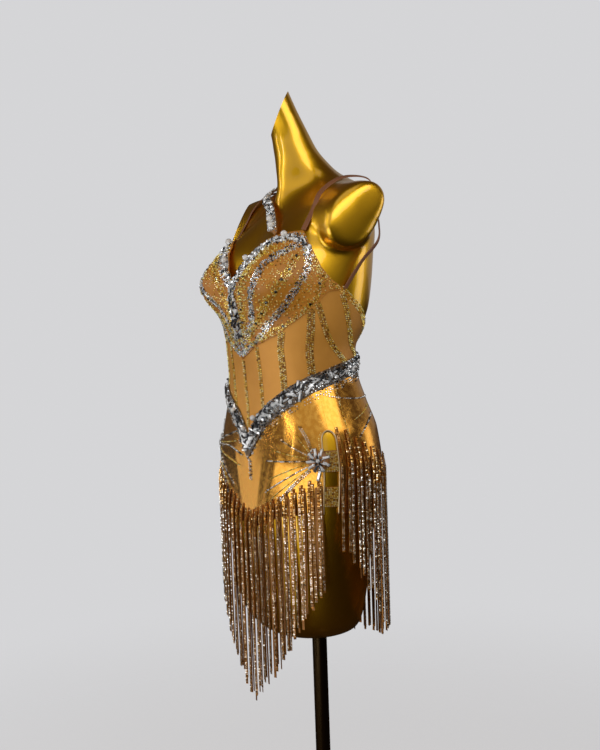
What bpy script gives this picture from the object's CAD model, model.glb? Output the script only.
"""The looks of the latin dance dress: its cloth, stones and fringe, the gold form and the stand.

Lengths are in millimetres and angles in degrees unless a name says otherwise. phi is the angle round
the body, 0 at the front and growing towards the wearer's left, and z is the height above the waist.
The body's sections are those of the CAD part, so every piece lies on the same skin.
"""
from collections import defaultdict, namedtuple

import bmesh
import bpy
import numpy as np
from mathutils import Matrix, Vector


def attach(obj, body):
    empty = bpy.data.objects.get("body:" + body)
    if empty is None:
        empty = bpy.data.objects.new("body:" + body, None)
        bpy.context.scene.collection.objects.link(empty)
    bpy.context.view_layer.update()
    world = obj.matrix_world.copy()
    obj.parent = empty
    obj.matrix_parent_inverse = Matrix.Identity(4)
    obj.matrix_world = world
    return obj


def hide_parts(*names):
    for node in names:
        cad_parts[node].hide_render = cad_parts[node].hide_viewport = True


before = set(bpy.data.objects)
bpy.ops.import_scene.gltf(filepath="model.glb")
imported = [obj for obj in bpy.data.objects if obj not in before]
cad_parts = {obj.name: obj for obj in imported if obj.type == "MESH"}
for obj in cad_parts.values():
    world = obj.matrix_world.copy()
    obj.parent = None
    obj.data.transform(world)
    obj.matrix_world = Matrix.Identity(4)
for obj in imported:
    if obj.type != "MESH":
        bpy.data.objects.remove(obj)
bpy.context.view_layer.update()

MM = 0.001
WAIST_HEIGHT, BODY_Y = 1130.0, -25.0
GAP, FORM_INSET = 0.3, 0.6
CLOTH_IN, NET_OUT, SKIRT_OUT = 0.7, 1.7, 1.9
CUP_IN, CUP_OUT = 1.9, 3.2
BAND_IN, BAND_OUT = 2.8, 4.0
BRIDGE, BRIDGE_PHI, BRIDGE_FROM, BRIDGE_FULL = 18.0, 26.0, 40.0, 120.0
SIDES = ((1, "left"), (-1, "right"))
WHITE = (1.0, 1.0, 1.0)


def table(columns, *rows):
    """A short table: its named columns, then its rows."""
    row = namedtuple("Row", columns)
    return [row(*values) for values in rows]


def edge(*rows):
    """An edge on the body, the same on both sides: angles and heights."""
    return table("phi z", *rows)


SECTIONS = table(
    "z half_width front back centre_y power",
    (-430, 65, 60, 50, 0, 2.2), (-426, 85, 68, 60, -1, 2.2), (-415, 108, 76, 69, -4, 2.3),
    (-390, 128, 84, 76, -8, 2.3), (-350, 138, 88, 82, -10, 2.4), (-280, 150, 91, 83, -9, 2.5),
    (-200, 162, 95, 91, -7, 2.6), (-140, 166, 96, 95, -5, 2.6), (-90, 157, 93, 95, -5, 2.5),
    (-40, 136, 89, 89, -8, 2.4), (0, 121, 89, 88, -11, 2.3), (40, 121, 91, 90, -13, 2.2),
    (80, 127, 98, 100, -4, 2.2), (110, 131, 100, 103, 4, 2.2), (150, 135, 103, 102, 10, 2.2),
    (190, 138, 96, 99, 15, 2.2), (220, 140, 82, 97, 18, 2.3), (250, 138, 62, 90, 21, 2.4),
    (275, 134, 43, 81, 24, 2.4), (290, 127, 38, 73, 33, 2.3), (303, 109, 39, 62, 43, 2.1),
    (312, 89, 41, 56, 48, 2.0), (319, 71, 45, 52, 46, 2.0), (327, 57, 47, 48, 38, 2.0),
    (340, 46, 45, 47, 27, 2.0), (365, 37, 37, 37, 11, 2.0), (390, 32, 32, 32, 1, 2.0),
    (430, 28, 28, 28, -18, 2.0), (475, 25, 25, 25, -38, 2.0))
BUST_HEIGHT, BUST_PHI, BUST_Z = 50.0, 33.0, 150.0
BUST_SPREAD_PHI, BUST_SPREAD_UP, BUST_SPREAD_DOWN = 21.0, 70.0, 48.0
THROAT_HEIGHT, THROAT_Z = 32.0, 308.0
THROAT_SPREAD_PHI, THROAT_SPREAD_UP, THROAT_SPREAD_DOWN = 28.0, 27.0, 38.0
NECK_TIP, NECK_CUT_NORMAL = (0.0, 1.0, 460.0), (-39.0, -58.0, 32.5)
STUB_FROM, STUB_TO = np.array((80.0, 20.0, 256.0)), np.array((161.0, 13.0, 248.0))
STUB_RINGS = table("along radius", (0, 50), (0.3, 50.7), (0.55, 51), (0.7, 51.2), (0.84, 51.2), (0.92, 51),
                   (0.97, 50), (0.99, 48.5), (1.0, 46), (1.006, 40), (1.01, 30), (1.012, 16))
STUB_LONG, STUB_SHORT, STUB_LEAN = 1.19, 0.85, 42.0

NECKLINE = edge((0, 153), (5, 156), (10, 166), (15, 184), (20, 198), (26, 212), (33, 219.5), (45, 224.5), (57, 226),
                (59, 216), (62, 200), (69, 170), (76, 152), (84, 139))
CUP_FOOT = edge((0, 30), (12, 40), (25, 53), (42, 65), (59, 93), (71, 121), (76, 133), (84, 134.5))
SIDE_TOP = edge((84.15, 134.2), (84.7, 138.6), (100, 113), (118, 86), (135, 62), (155, 45), (180, 40))
BAND_LINE = edge((0, -112), (22, -68), (39, -46), (53, -28), (69, -10), (94, 7), (120, 18), (150, 23), (180, 25))
SKIRT_HEM = edge((0, -246), (25, -232), (42, -216), (57, -209), (70, -206), (110, -206), (180, -216))
FRONT_ROOT = edge((0, -223), (25, -206), (42, -189), (57, -169), (64, -158), (70, -153))
FRONT_TIP = edge((0, -524), (7, -515), (20, -491), (38, -454), (48, -417), (57, -372), (64, -339), (70, -318))
BACK_ROOT = edge((68, -100), (77, -79), (84, -84), (89, -96), (95, -106), (105, -122), (125, -142), (180, -160))
BACK_TIP = edge((68, -300), (74, -222), (78, -255), (84, -273), (88, -297), (99, -350), (103, -387), (125, -425),
                (180, -450))
RIGHT_ROOT = edge((70, -153), (85, -130), (105, -126), (125, -142), (180, -160))
RIGHT_TIP = edge((68, -322), (84, -330), (99, -355), (103, -387), (125, -425), (180, -450))
BAND_HALF, PANEL_SEAM, SIDE_SEAM = 13.0, 48.0, -106.0
SLIT, SLIT_HALF, SLIT_TOP, SLIT_ARCH, SLIT_FADE = 74.0, 3.7, -80.0, 14.0, 12.0
SEAM, CENTRE_SEAM, CUP_SEAM = 0.06, 0.12, 0.6
HANG_LEVEL = -150.0

rng = np.random.default_rng(11)

# The body, as in the CAD part, worked out for whole arrays of places at once.
LEVELS = np.array([s.z for s in SECTIONS], float)


def slopes(values):
    """Slopes of a smooth curve through a column of the sections that never overshoots it."""
    run = np.diff(LEVELS)
    step = np.diff(values) / run
    out = np.zeros_like(values)
    out[0], out[-1] = step[0], step[-1]
    for i in range(1, len(step)):
        if step[i - 1] * step[i] > 0:
            w1, w2 = 2 * run[i] + run[i - 1], run[i] + 2 * run[i - 1]
            out[i] = (w1 + w2) / (w1 / step[i - 1] + w2 / step[i])
    return out


CURVES = {}
for field in SECTIONS[0]._fields[1:]:
    column = np.array([getattr(s, field) for s in SECTIONS], float)
    CURVES[field] = (column, slopes(column))


def section(field, z):
    """A column of the sections at any heights."""
    z = np.clip(z, LEVELS[0], LEVELS[-1])
    i = np.clip(np.searchsorted(LEVELS, z) - 1, 0, len(LEVELS) - 2)
    column, slope = CURVES[field]
    height = LEVELS[i + 1] - LEVELS[i]
    t = (z - LEVELS[i]) / height
    return ((2 * t**3 - 3 * t**2 + 1) * column[i] + (t**3 - 2 * t**2 + t) * height * slope[i]
            + (3 * t**2 - 2 * t**3) * column[i + 1] + (t**3 - t**2) * height * slope[i + 1])


def wrapped(phi):
    """Angles between -180 and 180."""
    return (np.asarray(phi, float) + 180) % 360 - 180


def skin(phi, z):
    """Points of the form's nominal skin."""
    phi, z = np.broadcast_arrays(np.asarray(phi, float), np.asarray(z, float))
    s, c = np.sin(np.radians(phi)), np.cos(np.radians(phi))
    power = section("power", z)
    depth = np.where(c > 0, section("front", z), section("back", z))
    r = (np.abs(s / section("half_width", z))**power + np.abs(c / depth)**power)**(-1 / power)
    turn = wrapped(phi)
    spread = np.where(z > BUST_Z, BUST_SPREAD_UP, BUST_SPREAD_DOWN)
    breasts = sum(np.exp(-((turn - peak) / BUST_SPREAD_PHI)**2) for peak in (BUST_PHI, -BUST_PHI))
    r = r + BUST_HEIGHT * breasts * np.exp(-((z - BUST_Z) / spread)**2)
    spread = np.where(z > THROAT_Z, THROAT_SPREAD_UP, THROAT_SPREAD_DOWN)
    r = r + THROAT_HEIGHT * np.exp(-(turn / THROAT_SPREAD_PHI)**2 - ((z - THROAT_Z) / spread)**2)
    return np.stack((r * s, section("centre_y", z) - r * c, z), -1)


def unit(v):
    return v / np.maximum(np.linalg.norm(v, axis=-1, keepdims=True), 1e-9)


def one_degree(phi, z):
    """One degree's way round the skin."""
    return skin(phi + 0.5, z) - skin(phi - 0.5, z)


def outward(phi, z):
    """The skin's normals."""
    up_body = skin(phi, np.minimum(z + 1, LEVELS[-1])) - skin(phi, np.maximum(z - 1, LEVELS[0]))
    return unit(np.cross(one_degree(phi, z), up_body))


def on_body(phi, z, out):
    """Points of the skin moved out."""
    return skin(phi, z) + outward(phi, z) * np.asarray(out, float)[..., None]


def along(line, phi):
    """Heights of an edge."""
    return np.interp(np.abs(wrapped(phi)), [e.phi for e in line], [e.z for e in line])


def bridge(phi, z):
    """How far the cups stand off the form near the middle front."""
    rise = np.clip((np.asarray(z, float) - BRIDGE_FROM) / (BRIDGE_FULL - BRIDGE_FROM), 0, 1)
    across = np.maximum(0, 1 - np.abs(wrapped(phi)) / BRIDGE_PHI)
    return BRIDGE * rise**2 * (3 - 2 * rise) * across**2 * (3 - 2 * across)


def slit_open(z):
    """How far each edge of the slit is drawn back, in degrees."""
    arch = np.clip((z - SLIT_TOP + SLIT_ARCH) / SLIT_ARCH, 0, 1)
    return np.where(z >= SLIT_TOP, 0.0, SLIT_HALF * np.sqrt(1 - arch**2))


def place(points):
    """Millimetres from the waist to metres in the shared frame."""
    return (np.asarray(points, float) + (0, BODY_Y, WAIST_HEIGHT)) * MM


# Materials: shared effects are node groups, and each material sets its own values.
def put(tree, kind, links=None, gives=0, **settings):
    """A shader node with its settings, and its inputs from values or sockets; gives is the output to return."""
    node = tree.nodes.new("ShaderNode" + kind)
    for key, value in settings.items():
        setattr(node, key, value)
    for key, value in (links or {}).items():
        if isinstance(value, bpy.types.NodeSocket):
            tree.links.new(value, node.inputs[key])
        else:
            node.inputs[key].default_value = value
    return node.outputs if gives is None else node.outputs[gives]


def mixed(tree, factor, a, b):
    return put(tree, "Mix", {"Factor": factor, "A": a, "B": b}, "Result", data_type="RGBA")


def spread_out(tree, value, low, high, start=0.0, end=1.0, **settings):
    """A value that runs from start to end, made to run from low to high."""
    return put(tree, "MapRange", {
        "Value": value, "From Min": start, "From Max": end, "To Min": low, "To Max": high}, **settings)


def new_group(name, takes, effect):
    """A node group from its named inputs, a vector where the value is None, and from what makes its outputs."""
    group = bpy.data.node_groups.new(name, "ShaderNodeTree")
    for label, value in takes.items():
        kind = "Vector" if value is None else "Color" if isinstance(value, tuple) else "Float"
        socket = group.interface.new_socket(label, in_out="INPUT", socket_type="NodeSocket" + kind)
        if value is not None:
            socket.default_value = value
    made = effect(group, group.nodes.new("NodeGroupInput").outputs)
    for label in made:
        kind = "Color" if label == "Color" else "Float"
        group.interface.new_socket(label, in_out="OUTPUT", socket_type="NodeSocket" + kind)
    end = group.nodes.new("NodeGroupOutput")
    for label, socket in made.items():
        group.links.new(socket, end.inputs[label])
    return group


def cloudy_tone(group, given):
    """Two colours that drift into each other in soft patches."""
    noise = put(group, "TexNoise", {
        "Vector": given["Place"], "Scale": given["Patch Scale"], "Detail": 4.0, "Roughness": 0.55})
    centred = put(group, "Math", {0: noise, 1: 0.5}, operation="SUBTRACT")
    mask = put(group, "Math", {0: centred, 1: given["Contrast"], 2: 0.5}, operation="MULTIPLY_ADD", use_clamp=True)
    return {"Color": mixed(group, mask, given["Light"], given["Dark"]), "Mask": mask}


def net_weave(group, given):
    """The height of a fine net or knit, from two crossing sets of threads."""
    waves = []
    for turn in (0.785, -0.785):
        spun = put(group, "VectorRotate", {"Vector": given["Place"], "Angle": turn})
        waves.append(put(group, "TexWave", {
            "Vector": spun, "Scale": given["Threads"], "Distortion": 0.6, "Detail Scale": 0.4}, "Fac"))
    both = put(group, "Math", {0: waves[0], 1: waves[1]}, operation="MAXIMUM")
    return {"Height": put(group, "Math", {0: both, 1: given["Depth"]}, operation="MULTIPLY")}


def crushed_foil(group, given):
    """The height and the worn mask of a foil print: fine creases over soft dents."""
    crease = put(group, "TexVoronoi", {"Vector": given["Place"], "Scale": given["Crease Scale"]}, "Distance",
                 feature="DISTANCE_TO_EDGE")
    dent = put(group, "TexNoise", {"Vector": given["Place"], "Scale": given["Dent Scale"], "Detail": 3.0})
    lines = spread_out(group, crease, 0.0, 1.0, 0.0, 0.12)
    return {"Height": put(group, "Math", {0: lines, 1: 0.35, 2: dent}, operation="MULTIPLY_ADD"),
            "Mask": spread_out(group, dent, 0.0, 1.0, 0.42, 0.62)}


CLOUDY = new_group("cloudy tone", {
    "Place": None, "Light": (*WHITE, 1), "Dark": (0, 0, 0, 1), "Patch Scale": 20.0, "Contrast": 1.0}, cloudy_tone)
NET = new_group("net weave", {"Place": None, "Threads": 1.0, "Depth": 1.0}, net_weave)
FOIL = new_group("crushed foil", {"Place": None, "Crease Scale": 60.0, "Dent Scale": 14.0}, crushed_foil)


def use(tree, group, links):
    """A node group at work, as its outputs."""
    return put(tree, "Group", links, None, node_tree=group)


def new_material(name, **values):
    """A material with its Principled BSDF's own sockets set, such as Metallic or Coat_Weight."""
    material = bpy.data.materials.new(name)
    material.use_nodes = True
    shader = material.node_tree.nodes["Principled BSDF"]
    for key, value in values.items():
        shader.inputs[key.replace("_", " ")].default_value = value
    return material, material.node_tree, shader


def feed(shader, **sockets):
    """Links into the shader's sockets, such as Base_Color."""
    for key, socket in sockets.items():
        shader.id_data.links.new(socket, shader.inputs[key.replace("_", " ")])


def tree_place(tree, kind="Object", scale=(1, 1, 1)):
    """Coordinates on the object or on its cloth, stretched if asked."""
    return put(tree, "Mapping", {"Vector": put(tree, "TexCoord", None, kind), "Scale": scale})


def drifting(tree, where, light, dark, patch, contrast):
    return use(tree, CLOUDY, {
        "Place": where, "Light": (*light, 1), "Dark": (*dark, 1), "Patch Scale": patch, "Contrast": contrast})


def raised(tree, height, strength, distance):
    return put(tree, "Bump", {"Height": height, "Strength": strength, "Distance": distance})


def lacquered_gold(name, light, dark, rough, brush=(1, 1, 1)):
    """Metallic lacquer with a gloss coat: a soft drift of tone, and fine brushing if asked."""
    material, tree, shader = new_material(name, Metallic=1.0, Coat_Weight=0.7, Coat_Roughness=0.04)
    where = tree_place(tree, scale=brush)
    grain = put(tree, "TexNoise", {"Vector": where, "Scale": 900.0, "Detail": 2.0})
    feed(shader, Base_Color=drifting(tree, where, light, dark, 6.0, 1.6)["Color"],
         Roughness=spread_out(tree, grain, rough - 0.04, rough + 0.04), Normal=raised(tree, grain, 0.04, 0.0004))
    return material


def stretch_net(name, light, dark, glitter=0.0, shine=0.3):
    """Tan stretch net: fine threads, a soft drift of tone and a few bright flecks."""
    material, tree, shader = new_material(name, Roughness=0.46, Sheen_Weight=0.08, Sheen_Roughness=0.4,
                                          Metallic=shine)
    where = tree_place(tree)
    colour = drifting(tree, where, light, dark, 11.0, 2.0)["Color"]
    if glitter:
        flecks = put(tree, "TexVoronoi", {"Vector": where, "Scale": 700.0}, "Color")
        bright = spread_out(tree, flecks, 0.0, 1.0, 1 - glitter, 1.05 - glitter)
        colour = mixed(tree, bright, colour, (1.0, 0.74, 0.3, 1))
        feed(shader, Metallic=bright)
    weave = use(tree, NET, {"Place": tree_place(tree, "UV"), "Threads": 0.35})
    feed(shader, Base_Color=colour, Normal=raised(tree, weave["Height"], 0.25, 0.0003))
    return material


def foil_cloth(name, light, dark, crushed):
    """Gold stretch cloth with a foil print, paler and matter where the foil is crushed."""
    material, tree, shader = new_material(name, Metallic=0.9, Roughness=0.32, Sheen_Weight=0.1)
    foil = use(tree, FOIL, {"Place": tree_place(tree, "UV", (1, 0.8, 1)), "Crease Scale": 0.5, "Dent Scale": 0.16})
    tone = drifting(tree, tree_place(tree), light, dark, 16.0, 1.0)["Color"]
    feed(shader, Base_Color=mixed(tree, foil["Mask"], tone, (*crushed, 1)),
         Roughness=spread_out(tree, foil["Mask"], 0.20, 0.27), Normal=raised(tree, foil["Height"], 0.05, 0.0003))
    return material


def cut_glass(name, *tones, rough=0.08, metallic=1.0):
    """Foiled stones: each has its own tone, from the dark to the bright end of a ramp."""
    material, tree, shader = new_material(name, Metallic=metallic, Coat_Weight=0.6, Coat_Roughness=0.03)
    ramp = put(tree, "ValToRGB", {"Fac": put(tree, "NewGeometry", None, "Random Per Island")})
    elements = ramp.node.color_ramp.elements
    while len(elements) < len(tones):
        elements.new(0.5)
    for element, (at, *colour) in zip(elements, tones):
        element.position, element.color = at, (*colour, 1)
    uneven = put(tree, "TexNoise", {"Vector": tree_place(tree), "Scale": 400.0})
    feed(shader, Base_Color=ramp, Roughness=spread_out(tree, uneven, rough, rough + 0.12))
    return material


def plain_material(name, light, dark, patch, rough, relief=0.1, **values):
    """One finish whose tone and grain drift gently."""
    material, tree, shader = new_material(name, Roughness=rough, **values)
    tone = drifting(tree, tree_place(tree), light, dark, patch, 1.8)
    feed(shader, Base_Color=tone["Color"], Normal=raised(tree, tone["Mask"], relief, 0.0005))
    return material


GOLD_FORM = lacquered_gold("lacquered gold shell", (0.90, 0.51, 0.025), (0.80, 0.43, 0.012), 0.34)
STAND_GOLD = lacquered_gold("dark gold stand", (0.13, 0.08, 0.03), (0.08, 0.05, 0.02), 0.24, (60, 60, 1))
TAN_NET = stretch_net("tan stretch net", (0.76, 0.35, 0.055), (0.60, 0.26, 0.035))
CUP_NET = stretch_net("gold flecked net", (0.60, 0.24, 0.02), (0.40, 0.14, 0.010), glitter=0.05, shine=0.5)
BAND_NET = stretch_net("dark band net", (0.20, 0.13, 0.07), (0.10, 0.06, 0.03), glitter=0.04)
CASING = stretch_net("boning casing", (0.40, 0.17, 0.028), (0.26, 0.10, 0.016), glitter=0.06)
FOIL_GOLD = foil_cloth("gold foil stretch cloth", (0.70, 0.32, 0.04), (0.55, 0.23, 0.022), (0.76, 0.38, 0.06))
SILVER = cut_glass("silver foiled stones", (0.0, 0.02, 0.02, 0.025), (0.25, 0.12, 0.13, 0.15),
                   (0.40, 0.80, 0.88, 0.97), (0.60, 0.97, 1.0, 1.0), rough=0.18, metallic=0.75)
FRINGE_STONE = cut_glass("smoky fringe stones", (0.0, 0.08, 0.045, 0.015), (0.35, 0.34, 0.23, 0.10),
                         (0.5, 0.88, 0.78, 0.56), (0.66, 1.0, 0.98, 0.90), metallic=0.8)
AMBER_STONE = cut_glass("amber fringe stones", (0.0, 0.18, 0.08, 0.012), (0.3, 0.75, 0.40, 0.08),
                        (0.6, 1.0, 0.66, 0.22), (0.85, 1.0, 0.90, 0.62))
GOLD_STONE = cut_glass("gold foiled stones", (0.0, 0.14, 0.06, 0.005), (0.25, 0.75, 0.44, 0.03),
                       (0.5, 1.0, 0.78, 0.14), (0.85, 1.0, 0.95, 0.50), rough=0.22, metallic=0.55)
BLACK = cut_glass("black diamond stones", (0.0, 0.01, 0.01, 0.012), (0.5, 0.05, 0.05, 0.06),
                  (1.0, 0.22, 0.21, 0.22), rough=0.03, metallic=0.7)
CLEAR = cut_glass("clear long stones", (0.0, 0.02, 0.022, 0.025), (0.24, 0.08, 0.09, 0.10),
                  (0.32, 0.95, 0.98, 1.0), (1.0, *WHITE), rough=0.07, metallic=0.4)
BED_STONE = cut_glass("small band stones", (0.0, 0.02, 0.02, 0.025), (0.32, 0.08, 0.09, 0.10),
                      (0.54, 0.50, 0.55, 0.61), (0.76, 0.97, 1.0, 1.0), rough=0.16, metallic=0.8)
SETTING = plain_material("steel stone settings", (0.35, 0.34, 0.33), (0.18, 0.17, 0.17), 300, 0.25, Metallic=1.0)
PEARL = plain_material("cream pearls", (0.86, 0.83, 0.78), (0.70, 0.68, 0.66), 90, 0.22, 0.02, Coat_Weight=1.0,
                       Coat_Roughness=0.08)
TAPE = plain_material("copper tape", (0.68, 0.29, 0.05), (0.42, 0.16, 0.022), 60, 0.40, 0.2, Metallic=0.6)
DEEP_TAPE = plain_material("deep copper tape", (0.34, 0.14, 0.025), (0.20, 0.075, 0.012), 60, 0.45, 0.2, Metallic=0.5)
ELASTIC = plain_material("tan elastic", (0.27, 0.10, 0.035), (0.19, 0.065, 0.022), 40, 0.5, 0.3, Sheen_Weight=0.1)
TRIM = plain_material("cream gold piping", (0.80, 0.62, 0.36), (0.62, 0.42, 0.18), 200, 0.34, 0.2, Metallic=0.45)
FLOOR = plain_material("pale floor", (0.42, 0.42, 0.42), (0.40, 0.40, 0.40), 2, 0.7, 0.0,
                       Emission_Color=(0.98, 0.98, 1.0, 1), Emission_Strength=0.5)
FLOOR_SOLID, FLOOR_GONE = 0.7, 2.4


def fade_floor(tree):
    """The floor melts into the pale background at a distance, and is dark where the gold mirrors it."""
    shader = tree.nodes["Principled BSDF"]
    reach = put(tree, "VectorMath", {0: put(tree, "NewGeometry", None, "Position")}, "Value", operation="LENGTH")
    feed(shader, Alpha=spread_out(tree, reach, 1.0, 0.0, FLOOR_SOLID, FLOOR_GONE, interpolation_type="SMOOTHSTEP"))
    dim = put(tree, "BsdfDiffuse", {"Color": (0.05, 0.03, 0.015, 1)})
    both = put(tree, "MixShader", {0: put(tree, "LightPath", None, "Is Camera Ray"), 1: dim, 2: shader.outputs[0]})
    tree.links.new(both, tree.nodes["Material Output"].inputs["Surface"])


fade_floor(FLOOR.node_tree)


# Meshes.
def linked(name, data):
    obj = bpy.data.objects.new(name, data)
    bpy.context.scene.collection.objects.link(obj)
    return obj


def new_piece(name, points, corners, sizes, material, smooth=True, uv=None):
    """A mesh from points in millimetres and faces given as one run of corners with each face's size."""
    corners, sizes = np.asarray(corners, np.int32), np.asarray(sizes, np.int32)
    mesh = bpy.data.meshes.new(name)
    mesh.vertices.add(len(points))
    mesh.vertices.foreach_set("co", place(points).astype(np.float32).ravel())
    mesh.loops.add(len(corners))
    mesh.loops.foreach_set("vertex_index", corners)
    mesh.polygons.add(len(sizes))
    mesh.polygons.foreach_set("loop_start", (np.cumsum(sizes) - sizes).astype(np.int32))
    mesh.polygons.foreach_set("use_smooth", np.full(len(sizes), smooth))
    mesh.update(calc_edges=True)
    mesh.validate()
    if uv is not None:
        layer = mesh.uv_layers.new(name="cloth")
        layer.data.foreach_set("uv", np.asarray(uv, np.float32)[corners].ravel())
    mesh.materials.append(material)
    obj = linked(name, mesh)
    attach(obj, "root")
    return obj


def quads(faces):
    faces = np.asarray(faces, np.int32).reshape(-1, 4)
    return faces.ravel(), np.full(len(faces), 4)


def soften(obj, angle):
    obj.data.set_sharp_from_angle(angle=np.radians(angle))


def stand_for(obj, node):
    """obj takes the place of a CAD node and of its slot in the record."""
    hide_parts(node)


def shell(name, outside, inside, material, uv=None):
    """A closed wall from two grids of points, the outer and the inner face of the cloth."""
    n, m = outside.shape[:2]
    count = n * m
    grid = np.arange(count).reshape(n, m)
    a, b, c, d = (g.ravel() for g in (grid[:-1, :-1], grid[1:, :-1], grid[1:, 1:], grid[:-1, 1:]))
    rim = np.concatenate((grid[:, 0], grid[-1, 1:], grid[-2::-1, -1], grid[0, -2:0:-1]))
    after = np.roll(rim, -1)
    corners, sizes = quads(np.concatenate((
        np.stack((a, b, c, d), -1), np.stack((a, d, c, b), -1) + count,
        np.stack((after, rim, rim + count, after + count), -1))))
    points = np.concatenate((outside.reshape(-1, 3), inside.reshape(-1, 3)))
    flat = None if uv is None else np.concatenate((uv.reshape(-1, 2),) * 2)
    obj = new_piece(name, points, corners, sizes, material, uv=flat)
    soften(obj, 50)
    return obj


LEAST_STEP, CLOTH_SCALE = 0.4, 2.3


def columns(start, end, step, lines):
    """Angles from start to end, on an even step and at every corner of the edges that bound a panel."""
    marks = [e.phi for line in lines for e in line]
    wanted = list(np.arange(start, end, step)) + [s * p + t for p in marks for s in (1, -1) for t in (0, 360)]
    kept = [start]
    for p in sorted(p for p in wanted if start + LEAST_STEP < p < end - LEAST_STEP):
        if p - kept[-1] > LEAST_STEP:
            kept.append(p)
    return np.array(kept + [end])


cloth = {}


def panel(name, node, material, phis, rows, low, high, inner, outer, shift=None, away=None, crease=None):
    """A panel of cloth between two edges, on the skin, in the place of a CAD node."""
    phi = np.repeat(phis[:, None], len(rows), 1)
    z = low(phi) + (high(phi) - low(phi)) * rows[None, :]
    turned = phi + (shift(phi, z) if shift else 0.0)
    off = away(turned, z) if away else np.zeros_like(phi)
    lift = crease(turned, z) if crease else 0.0
    uv = np.stack((phi * CLOTH_SCALE, z), -1)
    cloth[name] = shell(name, on_body(turned, z, outer + off + lift), on_body(turned, z, inner + off), material, uv)
    stand_for(cloth[name], node)


def smooth_line(points, per_stretch):
    """A smooth curve through the points, of any number of columns."""
    points = np.asarray(points, float)
    t = np.arange(per_stretch)[:, None] / per_stretch
    out = []
    for i in range(len(points) - 1):
        before, a, b, after = (points[min(max(k, 0), len(points) - 1)] for k in range(i - 1, i + 3))
        out.append(0.5 * (2 * a + (b - before) * t + (2 * before - 5 * a + 4 * b - after) * t**2
                          + (3 * a - before - 3 * b + after) * t**3))
    return np.concatenate(out + [points[-1:]])


def run_of(points):
    """The length of a line up to each of its points."""
    return np.concatenate(([0], np.cumsum(np.linalg.norm(np.diff(points, axis=0), axis=1))))


def metric(phi, z):
    """Millimetres on the skin for one degree round it and for one millimetre of height."""
    return (np.linalg.norm(one_degree(phi, z), axis=-1),
            np.linalg.norm(skin(phi, z + 0.5) - skin(phi, z - 0.5), axis=-1))


CURVE_STEPS = 24


def trail(points, pitch):
    """Places at an even pitch along a smooth line on the skin, with the heading of the line at each."""
    fine = smooth_line(points, CURVE_STEPS)
    run = run_of(skin(fine[:, 0], fine[:, 1]))
    stops = np.linspace(0, run[-1], max(int(round(run[-1] / pitch)), 1) + 1)
    phi, z = np.interp(stops, run, fine[:, 0]), np.interp(stops, run, fine[:, 1])
    per_degree, per_height = metric(phi, z)
    return phi, z, np.arctan2(np.gradient(z) * per_height, np.gradient(phi) * per_degree)


def beside(phi, z, heading, across, ahead=0.0):
    """Places moved across and along their headings, in millimetres on the skin."""
    per_degree, per_height = metric(phi, z)
    du = ahead * np.cos(heading) - across * np.sin(heading)
    dv = ahead * np.sin(heading) + across * np.cos(heading)
    return phi + du / per_degree, z + dv / per_height


def tube_corners(rings, sides):
    """Faces of a closed tube of rings, with a flat end at each."""
    grid = np.arange(rings * sides).reshape(rings, sides)
    after = np.roll(grid, -1, 1)
    corners, sizes = quads(np.stack((grid[:-1], after[:-1], after[1:], grid[1:]), -1))
    return np.concatenate((corners, grid[0, ::-1], grid[-1])), np.concatenate((sizes, (sides, sides)))


def round_turn(sides, start=0.0):
    return np.radians(np.arange(sides) * 360 / sides + start)


# Stones: each shape is a ring of base points, a girdle and a table, half a unit out and one unit high.
def cut_stone(outline, top, girdle=0.0):
    n = len(outline)
    levels = [(1.0, 0.0)] + ([(1.0, girdle)] if girdle else []) + [(top, 1.0)]
    points = np.concatenate([np.column_stack((outline * share, np.full(n, height))) for share, height in levels])
    rings = np.arange(n * len(levels)).reshape(-1, n)
    after = np.roll(rings, -1, 1)
    corners, sizes = quads(np.stack((rings[:-1], after[:-1], after[1:], rings[1:]), -1))
    return points, np.concatenate((corners, rings[-1])), np.append(sizes, n)


def oval(sides):
    turn = round_turn(sides, 180 / sides)
    return np.column_stack((np.cos(turn), np.sin(turn))) / 2


def pointed(sides):
    """A boat-shaped outline with its points at the two ends."""
    turn = round_turn(sides)
    return np.column_stack((np.cos(turn), 0.46 * np.sign(np.sin(turn)) * np.abs(np.sin(turn))**1.5)) / 2


def ball(rings=7, sides=12):
    points = np.array([(np.cos(u) * np.cos(t) / 2, np.cos(u) * np.sin(t) / 2, np.sin(u) / 2 + 0.5)
                       for u in np.radians(np.linspace(-88, 88, rings)) for t in round_turn(sides)])
    return points, *tube_corners(rings, sides)


SMALL_ROUND, LARGE_ROUND = cut_stone(oval(6), 0.55), cut_stone(oval(10), 0.6, 0.3)
SQUARE, BOAT, PEARL_BALL = cut_stone(oval(4) * 1.35, 0.5), cut_stone(pointed(10), 0.55, 0.25), ball()
LONG = cut_stone(np.array(((-1, -1), (1, -1), (1, 1), (-1, 1))) / 2, 0.62, 0.25)

trays = defaultdict(list)


def set_solid(tray, shape, origin, right, up, normal, size):
    """Copies of a shape, each with its own place, axes and length, width and height."""
    points, corners, sizes = shape
    size = np.broadcast_to(np.asarray(size, float), (len(origin), 3))
    axes = np.stack((right, up, normal), 1)
    trays[tray].append(((points[None] * size[:, None, :]) @ axes + origin[:, None, :], corners, sizes))


def set_stones(tray, shape, phi, z, heading, out, size):
    """Stones on the skin, their long axis along the heading."""
    normal = outward(phi, z)
    level = unit(one_degree(phi, z))
    rise = np.cross(normal, level)
    c, s = np.cos(heading)[:, None], np.sin(heading)[:, None]
    set_solid(tray, shape, on_body(phi, z, np.broadcast_to(out, phi.shape)), level * c + rise * s,
              rise * c - level * s, normal, size)


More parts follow.
